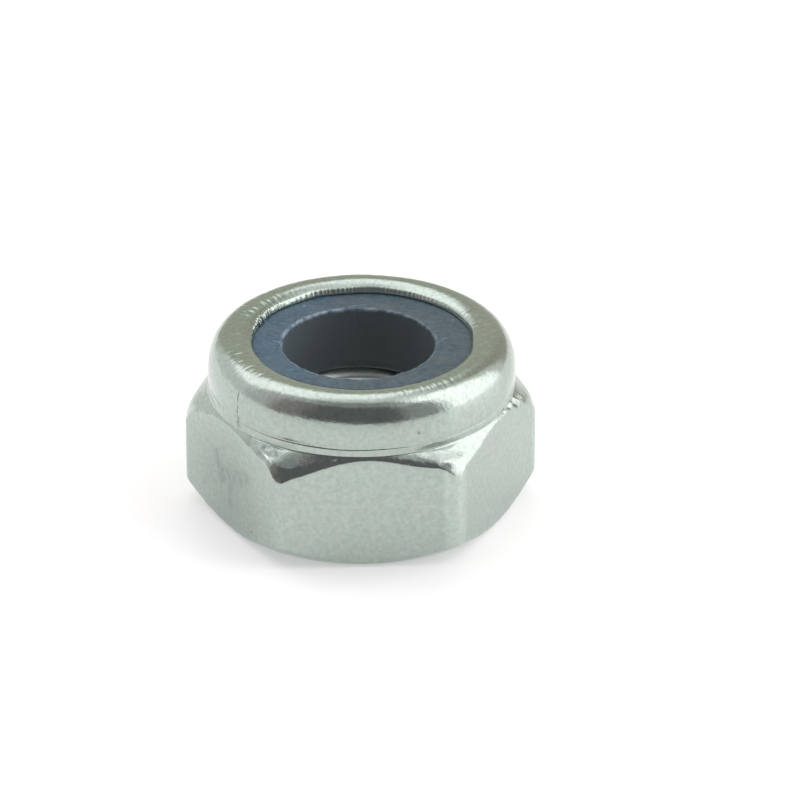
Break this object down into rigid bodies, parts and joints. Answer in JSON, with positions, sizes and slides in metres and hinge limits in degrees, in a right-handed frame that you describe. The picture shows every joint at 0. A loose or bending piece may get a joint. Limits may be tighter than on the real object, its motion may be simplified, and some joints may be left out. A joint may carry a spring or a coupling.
{
  "type": "nylon insert lock nut",
  "caption": "Hexagonal lock nut with a round collar whose edge is rolled over a nylon ring that grips the bolt's thread.",
  "frame": {"origin": "middle of the bearing face", "axes": "+Z along the thread's axis towards the nylon end, X through two opposite corners, Y through two opposite flats"},
  "size_m": [0.0114, 0.01, 0.0058],
  "materials": {
    "zinc_plated_steel": "bright zinc plating with a fine grain, a little dulled on the rolled lip",
    "nylon": "satin grey-blue nylon, slightly see-through at its rim"
  },
  "bodies": {
    "root": {"nut_body": "zinc_plated_steel", "nylon_insert": "nylon"}
  },
  "joints": []
}
